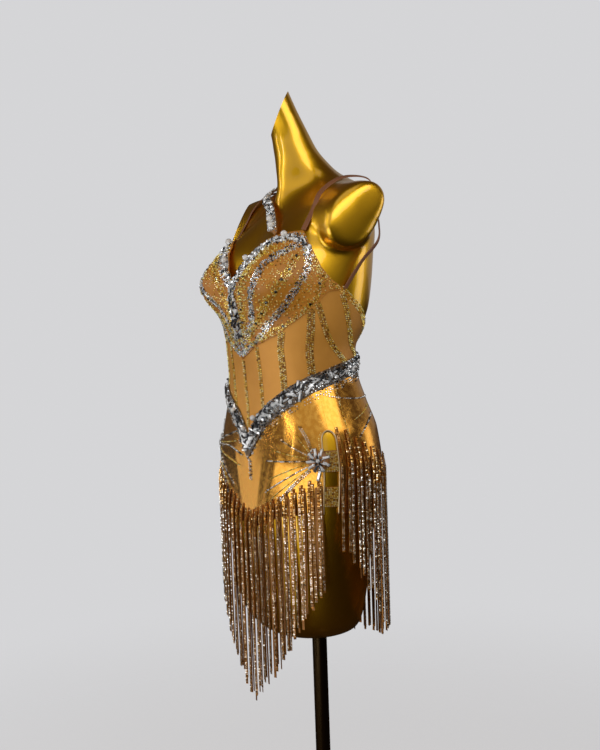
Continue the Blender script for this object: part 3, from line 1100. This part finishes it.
def strap(name, node, material, line, faces_away, width, thick):
    """A flat band along a line with rounded edges; returns the axes that stones on it take."""
    ahead = unit(np.gradient(line, axis=0))
    away = unit(faces_away - ahead * np.sum(faces_away * ahead, 1, keepdims=True))
    across = np.cross(ahead, away)
    rings = np.stack([line + across * width * x + away * thick * y for x, y in STRAP_OUTLINE], 1)
    cloth[name] = new_piece(name, rings.reshape(-1, 3), *tube_corners(len(line), len(STRAP_OUTLINE)), material)
    soften(cloth[name], 60)
    stand_for(cloth[name], node)
    return ahead, across, away


first, last = (on_body(*(np.array([v]) for v in end)) for end in ((56.6, 226.9, 2.4), (87.0, 135.6, 1.5)))
for (side, prefix), front in zip(SIDES, FRONT_STRAPS):
    line = smooth_line(np.concatenate((first, front, UNDER_ARM, last)), 8)
    strap(f"{prefix}_strap", f"strap_{prefix}", ELASTIC, line * (side, 1, 1), (line - STRAP_MIDDLE) * (side, 1, 1),
          STRAP_WIDTH, STRAP_THICK)
over_phi, over_z, over_out = OVER_SHOULDER.T
line = smooth_line(np.concatenate((BEADED_FRONT, on_body(over_phi, over_z, over_out))), 6)
facing = smooth_line(np.concatenate((FRONT_FACING, outward(over_phi, over_z))), 6)
ahead, across, away = strap("beaded_strap", "strap_beaded", CASING, line, facing, BEADED_WIDTH, BEADED_THICK)
run = run_of(line)


def on_strap(kind, shape, stops, across_mm, size, lift=1.5, spin=0.0):
    """Stones on the beaded strap, at lengths along it and distances across it."""
    at = [np.stack([np.interp(stops, run, v[:, k]) for k in range(3)], 1) for v in (line, ahead, across, away)]
    spin = np.broadcast_to(spin, stops.shape)[:, None]
    right = unit(at[1] * np.cos(spin) + at[2] * np.sin(spin))
    normal = unit(at[3])
    set_solid(f"beaded_strap_{kind}", shape, at[0] + at[2] * np.asarray(across_mm)[:, None] + normal * lift, right,
              np.cross(normal, right), normal, size)


for lane in np.arange(-6.4, 6.5, 3.2):
    stops = np.arange(2, run[-1] - 2, 3.1)
    stops = stops + rng.uniform(-0.5, 0.5, len(stops))
    on_strap("silver_stones", SMALL_ROUND, stops, lane + rng.normal(0, 0.4, len(stops)),
             3.0 * rng.uniform(0.8, 1.15, (len(stops), 1)) * (1, 1, 0.6))
stops = np.arange(5, run[-1] - 5, 9.0)
count = len(stops)
on_strap("clear_long_stones", LONG, stops, rng.uniform(-4, 4, count),
         np.column_stack((rng.uniform(6, 10, count), rng.uniform(2.4, 3.4, count), np.full(count, 2.4))), 2.2,
         rng.uniform(-0.9, 0.9, count))
stops = np.arange(9, run[-1] - 5, 13.0)
on_strap("clear_round_stones", LARGE_ROUND, stops, rng.uniform(-3.5, 3.5, len(stops)), (6.0, 6.0, 3.2), 2.0)
on_strap("pearls", PEARL_BALL, np.array((9.0, 35.0)), (0.5, -1.0), (10.5, 10.5, 10.5), 1.6)

# The fringe: flat tapes set with two columns of square stones, in three layers, the innermost bare.
LAYERS = table(
    "name node start end root tip drop out hang pitch fray",
    ("front_inner", "front_lower", -69.8, 69.6, FRONT_ROOT, FRONT_TIP, 14, 2.4, 3.4, 9.0, 16),
    ("front_middle", "front_lower", -69.4, 69.0, FRONT_ROOT, FRONT_TIP, 7, 3.2, 5.2, 14.4, 10),
    ("front_outer", "front_upper", -69.8, 69.8, FRONT_ROOT, FRONT_TIP, 0, 4.0, 7.2, 14.4, 8),
    ("back_inner", "back_lower", 79.5, 180, BACK_ROOT, BACK_TIP, 36, 2.4, 3.4, 14.4, 16),
    ("back_middle", "back_lower", 77.4, 180, BACK_ROOT, BACK_TIP, 18, 3.2, 5.0, 14.4, 12),
    ("back_outer", "back_upper", 76.2, 180, BACK_ROOT, BACK_TIP, 0, 4.0, 6.8, 14.4, 12),
    ("right_inner", "right_lower", 180.6, 288.6, RIGHT_ROOT, RIGHT_TIP, 30, 2.4, 3.4, 14.4, 16),
    ("right_middle", "right_lower", 181, 288.2, RIGHT_ROOT, RIGHT_TIP, 15, 3.2, 5.0, 14.4, 12),
    ("right_outer", "right_upper", 180.6, 288.6, RIGHT_ROOT, RIGHT_TIP, 0, 4.0, 6.8, 14.4, 12))
LAYER_SHIFT = (0.27, 0.52, 0.0)
TAPE_WIDTH, TAPE_THICK, TAPE_TOP, TAPE_BEND, TAPE_FALL, TAPE_STEPS = 4.2, 0.8, 6.0, 16.0, 8.0, 12
TAPE_TURN, TAPE_TWIST, TAPE_SWAY = 0.10, 0.30, 1.5
STONE_PITCH, STONE_TILT, STONE_SIZE, STONE_COLUMN, GOLD_LENGTH = 2.4, 0.13, (1.95, 1.95, 1.2), 0.98, 44.0
tape_shape = tube_corners(TAPE_STEPS + 3, 4)


def turned_by(angle, face, side):
    return face * np.cos(angle) + side * np.sin(angle), side * np.cos(angle) - face * np.sin(angle)


def tilted(v):
    return unit(v + rng.normal(0, STONE_TILT, v.shape))


def hang_tape(layer, phi):
    """One tape with its stones, at an angle round the body."""
    tray = f"{layer.name}_tapes"
    root = float(along(layer.root, phi)) - layer.drop
    tip = float(along(layer.tip, phi)) + rng.uniform(-layer.fray, layer.fray * 0.4)
    z = np.concatenate(((root + TAPE_TOP, root, root - TAPE_BEND),
                        np.linspace(root - TAPE_BEND - TAPE_FALL, tip, TAPE_STEPS)))
    sewn = z > root - 1
    level = np.where(sewn, z, np.maximum(z, min(root, HANG_LEVEL)))
    centre = on_body(np.full_like(z, phi), level, np.where(sewn, layer.out, layer.hang))
    centre[:, 2] = z
    face = unit(outward(np.full_like(z, phi), level) * (1, 1, 0))
    drop = np.clip((root - z) / max(root - tip, 1), 0, 1)
    turn = rng.normal(0, TAPE_TURN) + rng.normal(0, TAPE_TWIST) * drop**2
    face, side = turned_by(np.where(sewn, 0, turn)[:, None], face, np.cross(face, (0, 0, 1.0)) * -1)
    centre = centre + side * (rng.normal(0, TAPE_SWAY) * drop**1.6)[:, None]
    x, y = side * TAPE_WIDTH / 2, face * TAPE_THICK
    rings = np.stack((centre - x, centre + x, centre + x + y, centre - x + y), 1)
    trays[tray].append((rings.reshape(1, -1, 3), *tape_shape))
    down = np.arange(root + 4.5, tip + 1.0, -STONE_PITCH)
    if "inner" in layer.name or not len(down):
        return
    centre, side, face = (np.stack([np.interp(-down, -z, v[:, c]) for c in range(3)], 1) for v in (centre, side, face))
    right = tilted(side)
    normal = unit(np.cross(np.cross(right, tilted(face)), right))
    golden = down > root - GOLD_LENGTH * rng.uniform(0.6, 1.2)
    for across in (-STONE_COLUMN, STONE_COLUMN):
        origin = centre + unit(side) * across + unit(face) * TAPE_THICK
        for mask, kind in ((~golden, "glint"), (golden, "amber")):
            if mask.any():
                scale = rng.uniform(0.9, 1.06, (int(mask.sum()), 1)) * STONE_SIZE
                set_solid(f"{tray}_{kind}", SQUARE, origin[mask], right[mask], np.cross(normal, right)[mask],
                          normal[mask], scale)


for k, layer in enumerate(LAYERS):
    phis = np.linspace(layer.start, layer.end, 200)
    arc = run_of(skin(phis, along(layer.root, phis))[:, :2])
    count = int(arc[-1] / layer.pitch)
    stops = (np.arange(count) + 0.5 + LAYER_SHIFT[k % 3] + rng.uniform(-0.04, 0.04, count)) / count * arc[-1]
    for stop in np.clip(stops, 3, arc[-1] - 3):
        hang_tape(layer, float(np.interp(stop, arc, phis)))
for layer in LAYERS:
    tapes = pour(f"{layer.name}_tapes", DEEP_TAPE if "inner" in layer.name else TAPE)
    if "middle" not in layer.name:
        stand_for(tapes, f"fringe_{layer.node}")

FINISHES = {"waistband_stones": BED_STONE, "tapes_glint": FRINGE_STONE, "tapes_amber": AMBER_STONE, "silver": SILVER,
            "gold": GOLD_STONE, "boning": GOLD_STONE, "beads": GOLD_STONE, "black": BLACK, "clear": CLEAR,
            "settings": SETTING, "pearls": PEARL}
for tray in sorted(t for t in trays if not t.endswith("tapes")):
    word = next((w for w in FINISHES if w in tray), None)
    pour(tray, FINISHES.get(word, SILVER), smooth=word == "pearls")

# The cloth's cuts, flat and in metres, a little smaller than they are worn, and the pieces sewn to each. A star
# stands for each side in turn.
CUTS = table(
    "cloth width length area sewn_on",
    ("*_cup", 0.248, 0.186, 0.0252, ("*_cup_",)),
    ("front_midriff", 0.222, 0.176, 0.0192, ("left_centre_casing", "left_front_casing", "right_front_casing")),
    ("*_midriff", 0.312, 0.164, 0.0203, ("*_side", "*_back", "*_low", "*_boning")),
    ("*_waistband", 0.385, 0.028, None, ("*_waistband_",)),
    ("skirt_front_panel", 0.435, 0.250, 0.0720, (
        "left_skirt", "right_skirt", "left_rosette", "right_rosette", "slit_piping", "front_inner", "front_middle",
        "front_outer")),
    ("skirt_back_panel", 0.408, 0.235, 0.0875, ("back_", "right_inner", "right_middle", "right_outer")),
    ("upper_slit_band", 0.021, 0.032, None, ("upper_slit_band_",)),
    ("lower_slit_band", 0.021, 0.031, None, ("lower_slit_band_",)),
    ("*_strap", 0.010, 0.330, None, ("*_strap_",)),
    ("beaded_strap", 0.016, 0.540, None, ("beaded_strap_",)))

# The floor, the lights and the camera.
ROOM_LIGHT, BACKDROP_LIGHT, FLOOR_RADIUS = 0.06, 0.68, 14


def area_light(name, azimuth, elevation, distance, size, power, aim=0):
    """A soft light, its azimuth growing from the front towards the wearer's left, aimed in metres over the waist."""
    a, e = np.radians(azimuth), np.radians(elevation)
    offset = distance * np.array((np.sin(a) * np.cos(e), -np.cos(a) * np.cos(e), np.sin(e)))
    data = bpy.data.lights.new(name, "AREA")
    data.shape, data.size, data.size_y, data.energy = "RECTANGLE", *size, power
    light = linked(name, data)
    light.location = np.array((0, 0, aim)) + (0, BODY_Y * MM, WAIST_HEIGHT * MM) + offset
    light.rotation_euler = Vector(-offset).to_track_quat("-Z", "Y").to_euler()
    light.visible_camera = False


area_light("key_light", 90, 31, 1.0, (0.9, 0.42), 3.0)
area_light("front_softbox", 22, 28, 1.6, (2.6, 1.2), 6.0)
area_light("front_strip", -12, 16.5, 2.4, (0.05, 1.5), 6, 0.05)
area_light("thin_strip", -43, 16.5, 2.4, (0.05, 1.5), 6, 0.05)
area_light("top_light", 60, 60, 1.5, (0.8, 0.8), 1.3, 0.2)
area_light("rear_light", 152, 4, 1.3, (0.5, 0.5), 1.3)
area_light("back_softbox", 200, 22, 2.0, (2.4, 1.6), 3.0)
area_light("low_left_strip", -56, -10, 1.8, (0.26, 0.6), 0.75, -0.17)
area_light("low_front", 5, -20, 1.8, (2.6, 0.6), 13)

floor_mesh = bpy.data.meshes.new("floor")
ring = [(FLOOR_RADIUS * np.cos(t), FLOOR_RADIUS * np.sin(t), 0.0) for t in round_turn(72)]
floor_mesh.from_pydata(ring, [], [tuple(range(len(ring)))])
floor_mesh.materials.append(FLOOR)
linked("floor", floor_mesh)

world = bpy.data.worlds.new("pale studio")
bpy.context.scene.world = world
world.use_nodes = True
sky = world.node_tree
seen = put(sky, "LightPath", None, "Is Camera Ray")
feed(sky.nodes["Background"], Strength=spread_out(sky, seen, ROOM_LIGHT, BACKDROP_LIGHT),
     Color=mixed(sky, seen, (1.0, 0.62, 0.30, 1), (0.98, 0.98, 1.0, 1)))
bpy.context.scene.view_settings.view_transform = "Standard"

AZIMUTH, DISTANCE, ABOVE_WAIST, TILT, ROLL, SIDE = 56.0, 1600.0, 114.0, 4.2, 2.0, 3.0
FOCUS_PIXELS, IMAGE_HEIGHT = 960, 750
a, p, r = np.radians((AZIMUTH, TILT, ROLL))
level_right, level_ahead = np.array((np.cos(a), np.sin(a), 0)), np.array((-np.sin(a), np.cos(a), 0))
look = level_ahead * np.cos(p) - np.array((0, 0, np.sin(p)))
up = np.cross(level_right, look)
cam_right, cam_up = level_right * np.cos(r) - up * np.sin(r), up * np.cos(r) + level_right * np.sin(r)
camera_data = bpy.data.cameras.new("camera")
camera_data.lens = FOCUS_PIXELS / IMAGE_HEIGHT * camera_data.sensor_width
camera = linked("camera", camera_data)
spot = place(-level_ahead * DISTANCE + level_right * SIDE + (0, 0, ABOVE_WAIST))
camera.matrix_world = Matrix.Translation(spot) @ Matrix(np.stack((cam_right, cam_up, -look), 1)).to_4x4()
bpy.context.scene.camera = camera
